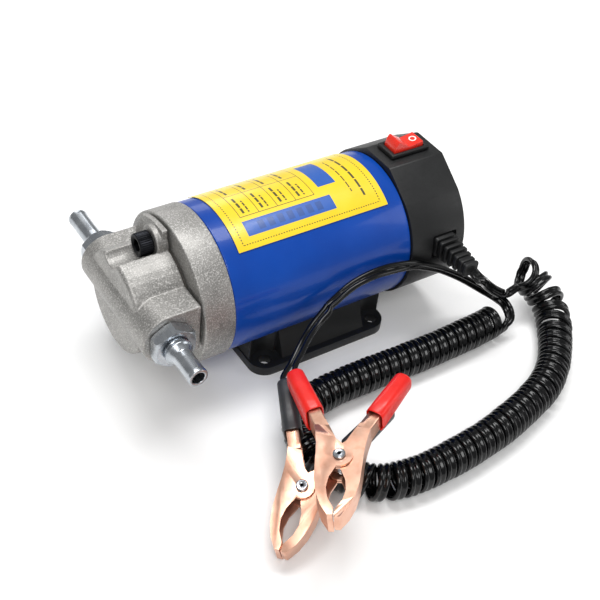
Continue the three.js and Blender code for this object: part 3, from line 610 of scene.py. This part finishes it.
# ---------- the lead ----------
# Points on the middle line, in order: from the boot to the coil, along the axis of the coil, and
# from the coil to where the lead splits into two wires.
LEAD = [
    (67.8, -54.2, 46.1), (68.6, -57.6, 44.6), (73, -56, 40.2), (77.5, -53, 35.8), (81.8, -50.6, 31.1),
    (86.5, -49.7, 26.1), (91.6, -50.1, 21.6), (97.6, -50.8, 18),
]
COIL = [
    (109.6, -45.4, 22.8), (113.3, -46, 19.8), (116.8, -51.2, 16.2), (118.6, -57.3, 12.2), (117.2, -64.5, 9.2),
    (112, -72.5, 8), (104.6, -81.1, 8), (94.7, -90.5, 8), (82.8, -98, 8), (69.8, -102.7, 8), (55, -106.5, 8),
    (41.7, -109, 8), (18.5, -111, 8), (-1.8, -110.4, 8), (-15.5, -106, 8), (-25, -95, 8), (-29.4, -82, 8),
    (-27.4, -69, 8), (-20.5, -60, 8), (-8, -56.5, 8), (17, -56, 8), (49.5, -56.8, 8), (83.8, -55.5, 8),
    (90.6, -54.4, 8),
]
TAIL = [
    (94.6, -59.7, 11), (95.2, -57.2, 13.8), (96.2, -52.3, 14.4), (96.3, -46.3, 13.4), (91.4, -42.4, 16.5),
    (80.2, -38.8, 25), (67.8, -37, 33.5), (57.5, -36.8, 39.5), (47.7, -37.2, 44.5), (37, -37.4, 47),
    (26.4, -37.6, 48), (14.9, -38, 46.5), (2.7, -39, 40.5),
]
BLACK_WIRE = [
    (1.2, -38.2, 39), (-5.5, -39.5, 33.5), (-13.5, -43.5, 28.5), (-21.5, -49, 26), (-28.6, -54.4, 25.4),
]
RED_WIRE = [
    (1.4, -41.6, 39.9), (-4.5, -43.5, 37.5), (-12.5, -48, 36.5), (-20.4, -54.2, 36.2), (-26.6, -59, 35.8),
]
START_TURN = math.radians(-42)   # where on the coil the lead arrives, from its near side upwards
LOOSE = (34, 52)                 # the turns close up between these lengths along the coil
PITCH = (7.6, 5.35)              # loose and close, from turn to turn


def wound():
    """The coil: its turns lie side by side on the inside of each bend and fan out on the outside."""
    centre = evenly(spline(COIL), 0.05)
    run = lengths(centre)
    ahead = unit(np.gradient(centre, axis=0))
    side = unit(np.cross(ahead, [0, 0, 1]))
    above = np.cross(side, ahead)
    bend = np.linalg.norm(np.gradient(ahead, run, axis=0), axis=1)
    half = 80                        # samples each side that the bend is averaged over
    window = np.ones(2 * half + 1) / (2 * half + 1)
    bend = np.convolve(np.pad(bend, half, mode="edge"), window, mode="valid")
    close = np.clip((run - LOOSE[0]) / (LOOSE[1] - LOOSE[0]), 0, 1)
    close = close * close * (3 - 2 * close)
    pitch = PITCH[0] + (PITCH[1] - PITCH[0]) * close
    pitch = np.maximum(pitch, (TWIN_WIDTH + 0.1) / (1 - np.minimum(COIL_R * bend, 0.42)))
    radius = LOOSE_R + (COIL_R - LOOSE_R) * close
    turn = START_TURN + np.concatenate([[0], np.cumsum(2 * math.pi * np.diff(run) / pitch[1:])])
    whole = math.floor((turn[-1] - math.radians(10)) / (2 * math.pi)) * 2 * math.pi + math.radians(10)
    keep = turn <= whole
    wave = 0.35 * np.sin(turn / 5.3) + 0.2 * np.sin(turn / 2.1 + 1)
    spread = (radius + 0.5 * wave * (1 - 0.5 * close))[:, None]
    path = centre + spread * (np.cos(turn)[:, None] * side + np.sin(turn)[:, None] * above)
    return path[keep], ahead[keep]


def twin_outline():
    """Two round conductors side by side, with a thin web between them."""
    lobes = []
    for middle, start in ((TWIN_HALF, -160), (-TWIN_HALF, 20)):
        for k in range(9):
            a = math.radians(start + 320 * k / 8)
            lobes.append((middle + CONDUCTOR_R * math.cos(a), CONDUCTOR_R * math.sin(a)))
    return lobes


def power_lead():
    """The flat twin lead from the boot to its split. In the coil it lies flat along the axis."""
    turns, axes = wound()
    knots = np.vstack([turns[::6], turns[-1]])
    path = evenly(spline(LEAD + [tuple(k) for k in knots] + TAIL, 4), 1.15)
    path[:, 2] = np.maximum(path[:, 2], LOWEST)
    run = lengths(path)
    coil_start = run[np.argmin(np.linalg.norm(path - turns[0], axis=1))]
    coil_end = run[np.argmin(np.linalg.norm(path - turns[-1], axis=1))]
    turn_run = coil_start + (coil_end - coil_start) * lengths(turns) / lengths(turns)[-1]
    split = np.array(BLACK_WIRE[0]) - np.array(RED_WIRE[0])
    marks = np.concatenate([[0, coil_start * 0.55], turn_run, [coil_end + 14, coil_end + 55, run[-1]]])
    before = [(1, 0, 0.25), (0.8, 0.3, 0.5)]
    after = [(0.5, -0.3, 0.8), (0.1, -0.5, 0.85), unit(split)]
    wanted = np.vstack([before, axes, after])
    widths = np.column_stack([np.interp(run, marks, wanted[:, k]) for k in range(3)])
    lead = sweep("power_lead", path, widths, twin_outline())
    stands_for(shaded(lead, 50), ["lead_cable", "lead_coil", "tail_cable"], "cord_vinyl")
    return path[-1], unit(split)


def clamp_wire(name, points, node, clamp):
    path = evenly(spline(points), 0.9)
    wire = sweep(name, path, np.tile([0.2, 0.1, 1.0], (len(path), 1)), circle(CONDUCTOR_R, 16))
    stands_for(shaded(wire, 50), node, "cord_vinyl")


# ---------- pump head ----------
def rod(name, axis, centre, radius, start, end, edge, segments=48):
    return prism(name, axis, circle(radius, segments, centre), start, end, edge)


def hexagon(across, cx=0.0, cy=0.0, turn=30):
    reach = across / math.sqrt(3)
    angles = [math.radians(turn + 60 * i) for i in range(6)]
    return [(cx + reach * math.cos(a), cy + reach * math.sin(a)) for a in angles]


def pump_head():
    casting = remeshed(node_copy("head_casting", "pump_housing"), 0.32, 1)
    stands_for(shaded(casting, 60), "pump_housing", "cast_aluminium")
    section = rounded(
        [(4.3, -47.5), (9.3, -47.5), (9.3, X_BELL[0]), (BELL_R, X_BELL[0]), (BELL_R, X_BELL[1]),
         (30.7, X_BELL[1]), (30.7, -36), (27, -36), (27, X_BELL[1]), (12, X_BELL[1]), (12, -33), (8.3, -33),
         (8.3, -43.5), (4.3, -43.5)],
        [0.2, 0.2, 0.3, 0.9, 0.5, 0.2, 0.4, 0.4, 0.2, 0.5, 0.4, 0.4, 0.2, 0.2],
    )
    bell = lathe("bell_casting", "x", (0, AXIS_Z), section, 128)
    stands_for(shaded(bell), "end_bell", "cast_aluminium")


def socket_screw(index):
    """A socket head screw with a knurled head, chamfered rims and a drilled hexagon."""
    node = f"housing_screw_{index}"
    low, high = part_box(node)
    cy, cz = middle_of(node)[1:]
    front = low[0] / MM
    teeth = 36
    knurl = [(cy + r * math.cos(a), cz + r * math.sin(a)) for i in range(2 * teeth)
             for r, a in [(4.98 - 0.2 * (i % 2), math.pi * i / teeth)]]
    head = prism(f"screw_head_{index}", "x", knurl, front, front + 6, 0.55, 4)
    weld(head, rod("shank", "x", (cy, cz), 2.9, front + 5, high[0] / MM, 0.4))
    cut(head, prism("key", "x", hexagon(5, cy, cz), front - 1, front + 3.2))
    rim = [(3.5, front - 1), (3.5, front), (2.3, front + 0.6), (2.3, front - 1)]
    dish = lathe("dish", "x", (cy, cz), rim, 48)
    cut(head, dish)
    stands_for(shaded(head, 28), node, "black_steel")


def hose_fitting(node, side, end):
    """A hexagon with chamfered corners, a rolled collar and a plain hose tail with a bright lip."""
    section = rounded(
        [(2.7, TIP_Y), (2.7, end - 9), (5.3, end - 9), (5.3, end + 6), (4.9, end + 6.6), (4.9, end + 7.1),
         (5.9, end + 7.3), (6.0, end + 8.7), (5.3, end + 9.4), (4.25, end + 11.2), (4.1, end + 14),
         (4.1, TIP_Y - 2.2), (4.25, TIP_Y - 1.4), (4.1, TIP_Y)],
        [0.35, 0.1, 0.4, 0.2, 0.2, 0.2, 0.3, 0.5, 0.6, 0.8, 2, 1, 0.6, 0.45],
    )
    tail = lathe(node + "_turned", "y", (0, 0), section, 72)
    nut = prism("nut", "y", hexagon(17), end + 0.3, end + 6.3)
    chamfer = [(0.01, end), (8.3, end), (10.4, end + 1.4), (10.4, end + 4.8), (8.2, end + 6.5)]
    chamfer += [(0.01, end + 6.5)]
    combine(nut, "INTERSECT", lathe("trim", "y", (0, 0), chamfer, 72, looped=False))
    cut(nut, rod("bore", "y", (0, 0), 4.4, end - 1, end + 8, 0))
    weld(tail, nut)
    turn = Matrix.Rotation(math.pi, 4, "Z") if side < 0 else Matrix.Identity(4)
    tail.data.transform(Matrix.Translation(Vector((PORT[0], 0, PORT[1])) * MM) @ turn)
    stands_for(shaded(tail, 25), node, "zinc_steel")


# ---------- motor ----------
def motor():
    inside, outside = TUBE_R
    front, back = X_TUBE
    section = rounded([(inside, front), (outside, front), (outside, back), (inside, back)], 0.5)
    tube = lathe("motor_shell", "x", (0, AXIS_Z), section, 192)
    for screw in ("foot_screw_1", "foot_screw_2"):
        cut(tube, rod("hole", "z", (middle_of(screw)[0], 0), 2.3, 5, 15, 0, 32))
    stands_for(shaded(tube), "motor_tube", "blue_enamel")
    x0, x1 = (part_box("rating_label")[k][0] / MM for k in (0, 1))
    first, last = FILM_SPAN
    angles = [math.radians(180 - (first + (last - first) * i / 64)) for i in range(65)]
    under, over = FILM_R
    outer = [(over * math.cos(a), AXIS_Z + over * math.sin(a)) for a in angles]
    inner = [(under * math.cos(a), AXIS_Z + under * math.sin(a)) for a in reversed(angles)]
    steps = [x0 + (x1 - x0) * i / 16 for i in range(17)]
    film = loft("rating_film", [[(x, y, z) for y, z in outer + inner] for x in steps])
    stands_for(shaded(film), "rating_label", "label_film")


# ---------- rear cap, switch and boot ----------
def cap_outline():
    """The round cap with its flat roof for the switch, as seen along the motor."""
    roof, half = CAP_FLAT
    foot, wide = CAP_SLOPE_FOOT
    corner = Vector((half, roof))
    slope = Vector((wide - half, foot - roof)).normalized()
    inward = -corner.dot(slope)
    meet = corner + slope * (inward + math.sqrt(inward ** 2 - corner.length_squared + CAP_R ** 2))
    start = math.atan2(meet.y, meet.x)
    arc = [math.pi - start + (2 * start + math.pi) * i / 120 for i in range(121)]
    outline = [(-half, roof)]
    outline += [(CAP_R * math.cos(a), CAP_R * math.sin(a)) for a in arc]
    outline += [(half, roof)]
    radii = [1.6] + [0] * len(arc) + [1.6]
    return [(y, z + AXIS_Z) for y, z in rounded(outline, radii, 5)]


def cap():
    """The hollow cap, with a bearing hub, two bolt seats, and openings for the switch and the boot."""
    front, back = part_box("rear_cap")[0][0] / MM, X_REAR
    outline = cap_outline()
    rings = []
    stations = [
        (front, 0.35), (front + 0.1, 0.1), (front + 0.35, 0), (back - 1.6, 0), (back - 1.1, 0.08),
        (back - 0.6, 0.35), (back - 0.25, 0.8), (back, 1.5),
    ]
    for at, inset in stations:
        grow = 1 - inset / CAP_R
        rings.append([(at, y * grow, AXIS_Z + (z - AXIS_Z) * grow) for y, z in outline])
    shell = loft("cap_moulding", rings)
    cut(shell, rod("room", "x", (0, AXIS_Z), CAP_R - CAP_WALL, front - 1, back - 3, 0.8, 96))
    hub = lathe("hub", "x", (0, AXIS_Z), [(8.3, 61), (11, 61), (11, back - 2.5), (8.3, back - 2.5)], 64)
    weld(shell, hub)
    for centre in BOLT_AT:
        weld(shell, rod("seat", "x", centre, 4.8, 70, back - 2.5, 0, 32))
        cut(shell, rod("way", "x", centre, 2.1, 60, back + 1, 0, 24))
        cut(shell, rod("pocket", "x", centre, 3.7, back - 3.9, back + 1, 0, 40))
    cx, cy = middle_of("switch_body")[:2]
    cut(shell, prism("switch_way", "z", [(cx + x, cy + y) for x, y in rounded_box(9.4, 5.6, 0.8)], 58, 80))
    for size, start in (((5.9, 5.2, 0.8), -26), ((6.6, 5.8, 1), -32)):
        way = [(BOOT_X + x, BOOT_Z + z) for x, z in rounded_box(*size)]
        cut(shell, prism("boot_way", "y", way, -40, start))
    stands_for(shaded(shell, 28), "rear_cap", "black_plastic")


def switch():
    bezel = bevelled(node_copy("switch_bezel", "switch_body"), 0.45, 3)
    stands_for(shaded(bezel), "switch_body", "black_plastic")
    rocker = bevelled(node_copy("switch_button", "switch_rocker"), 0.3, 3)
    stands_for(shaded(rocker), "switch_rocker", "red_plastic")
    ring = lathe("switch_mark", "z", (0, 0), [(1.15, 0), (1.75, 0), (1.75, 0.08), (1.15, 0.08)], 40)
    at = Vector((MARK["x"], middle_of("switch_rocker")[1], MARK["z"])) * MM
    ring.data.transform(Matrix.Translation(at) @ Matrix.Rotation(math.radians(MARK["tilt"]), 4, "Y"))
    ring.data.materials.append(MATERIALS["mark_paint"])
    shaded(ring)
    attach(ring, "rocker")


def boot():
    """The ribbed strain relief: a tapered core with five soft-cornered ribs."""
    rings = []

    def section(at, wide, high, corner):
        rings.append([(BOOT_X + x, at, BOOT_Z + z) for x, z in rounded_box(wide, high, corner, 5)])

    def block(start, end, wide, high, edge):
        for share, inset in ((0, edge), (0.3, edge * 0.3), (1, 0)):
            section(start - edge * share, wide - inset, high - inset, 1.3)
        for share, inset in ((1, 0), (0.3, edge * 0.3), (0, edge)):
            section(end + edge * share, wide - inset, high - inset, 1.3)

    block(-26.5, -28.6, 6.8, 6.0, 0.4)
    block(-28.9, -34.5, 5.5, 4.8, 0.4)
    for i in range(5):
        shrink = 0.32 * i
        start = -35.6 - 3.2 * i
        for before in (0.8, 0.06):
            section(start + before, *BOOT_NECK)
        block(start, start - 1.9, 5.3 - shrink, 4.7 - shrink, 0.28)
        for after in (1.96, 2.2):
            section(start - after, *BOOT_NECK)
    block(-51.4, -53, 3.9, 3.4, 0.5)
    relief = loft("cord_boot", rings)
    stands_for(shaded(relief, 40), "strain_relief", "boot_rubber")


def foot():
    base = bevelled(node_copy("foot_moulding", "foot_base"), 0.5, 3)
    stands_for(shaded(base), "foot_base", "black_plastic")


# ---------- battery clamps ----------
HANDLE = {"root": (-14, -7.8), "end": (-41.5, -21.3), "sleeve": 22.5}
JAW_HEIGHT = {"fixed": 10.4, "moving": 8.0}
WIRE_END = (-41.7, -21.4, 0)    # just inside the closed end of the fixed handle's sleeve
# The plate that fills the notch between the jaw and the handle, on each face of a jaw.
GUSSET = [(-12.8, -4.6), (-14, -5.05), (-15.1, -5.62), (-16.5, -6.35), (-16.5, -7.5), (-12.8, -7.5)]
CLAMPS = {
    "black": {"turns": (219.4, 18, 6), "vinyl": "black_vinyl"},
    "red": {"turns": (231, 2, 10), "vinyl": "red_vinyl"},
}


def clamp_place(name):
    """Where a clamp lies. It is drawn about its rivet, with +X to the jaw tips and +Z along the rivet."""
    joint = next(j for j in frame["joints"] if j["name"] == f"{name}_clamp_open")
    heading, pitch, roll = (math.radians(a) for a in CLAMPS[name]["turns"])
    turn = Matrix.Rotation(heading, 4, "Z") @ Matrix.Rotation(pitch, 4, "Y") @ Matrix.Rotation(roll, 4, "X")
    return Matrix.Translation(Vector(joint["pos_m"])) @ turn


def wire_socket(name):
    return tuple(clamp_place(name) @ (Vector(WIRE_END) * MM) / MM)


def grip(name, side, height, place, vinyl):
    """A dipped vinyl sleeve: a soft rectangular tube with a rolled mouth and a rounded closed end."""
    root, tip = Vector(HANDLE["root"]), Vector(HANDLE["end"])
    ahead = (tip - root).normalized()
    across = Vector((-ahead.y, ahead.x))
    length = (tip - root).length
    first, last = length - HANDLE["sleeve"], length + 1.4
    rings = []

    def ring(at, grow, inner):
        share = (at - first) / (last - first)
        wide = (5.8 - 0.5 * share if inner else 7.7 - 0.5 * share) / 2 + grow
        tall = height / 2 + ((0.2 - 0.9 * share) if inner else (1.05 - 1.15 * share)) + grow
        outline = rounded_box(wide, tall, 1.0 if inner else 2.9, 6)
        middle = root + ahead * at
        rings.append([(middle.x + across.x * a, side * (middle.y + across.y * a), b) for a, b in outline])

    for at, grow in ((last - 1.6, -0.6), (last - 2.2, 0), (first + 0.4, 0), (first, 0.35)):
        ring(at, grow, True)
    for at, grow in (
        (first, -0.3), (first + 0.5, 0), (first + 8, 0.05), (last - 1.6, 0), (last - 0.7, -0.25),
        (last - 0.2, -0.7), (last, -1.3),
    ):
        ring(at, grow, False)
    sleeve = loft(name + "_dip", rings)
    sleeve.data.transform(place)
    stands_for(shaded(sleeve, 40), name, vinyl)
    return sleeve


def rivet(name, place):
    """A hollow rivet with a low domed head on each side. low and high are the sides of a head."""
    low, high = 5.5, 6.4
    half = [
        (0.7, -high + 0.2), (1.0, -high + 0.05), (1.9, -high), (2.3, -high + 0.25), (2.4, -low), (1.6, -low),
    ]
    section = half + [(r, -z) for r, z in reversed(half)]
    pin = lathe(name + "_turned", "z", (0, 0), section, 48)
    pin.data.transform(place)
    stands_for(shaded(pin, 35), name, "zinc_steel")
    return pin


def torsion_spring(name, place):
    """Four turns of round wire about the rivet."""
    turns = 4
    angles = np.linspace(0, turns * 2 * math.pi, turns * 28)
    rise = np.linspace(-2.05, 2.05, len(angles))
    path = np.column_stack([2.95 * np.cos(angles), 2.95 * np.sin(angles), rise])
    spring = sweep(name + "_coil", path, np.tile([0.0, 0.0, 1.0], (len(path), 1)), circle(0.46, 12))
    spring.data.transform(place)
    stands_for(shaded(spring, 50), name, "zinc_steel")
    return spring


def battery_clamp(name):
    place = clamp_place(name)
    vinyl = CLAMPS[name]["vinyl"]
    prefix = f"{name}_clamp_"
    parts = []
    for half, side in (("fixed", 1), ("moving", -1)):
        node = f"{prefix}{half}_jaw"
        jaw = node_copy(node + "_pressing", node, 0.02)
        outline = [(x, side * y) for x, y in GUSSET]
        for face in (JAW_HEIGHT[half] / 2 - 0.88, 0.01 - JAW_HEIGHT[half] / 2):
            gusset = prism("gusset", "z", outline, face, face + 0.87)
            gusset.data.transform(place)
            weld(jaw, gusset)
        bevelled(jaw, 0.16, 2)
        stands_for(shaded(jaw, 20), node, "copper_plate")
    parts.append(rivet(prefix + "rivet", place))
    parts.append(torsion_spring(prefix + "spring", place))
    for half, side in (("fixed", 1), ("moving", -1)):
        parts.append(grip(f"{prefix}{half}_sleeve", side, JAW_HEIGHT[half], place, vinyl))
    return parts


pump_head()
for number in (1, 2):
    socket_screw(number)
hose_fitting("outlet_fitting", -1, ARM_END["near"])
hose_fitting("inlet_fitting", 1, ARM_END["far"])
motor()
cap()
switch()
boot()
foot()
end, apart = power_lead()
for name, route, side in (("black", BLACK_WIRE, 1), ("red", RED_WIRE, -1)):
    points = [tuple(end + side * TWIN_HALF * apart)] + route + [wire_socket(name)]
    clamp_wire(f"{name}_lead_wire", points, f"{name}_wire", battery_clamp(name))
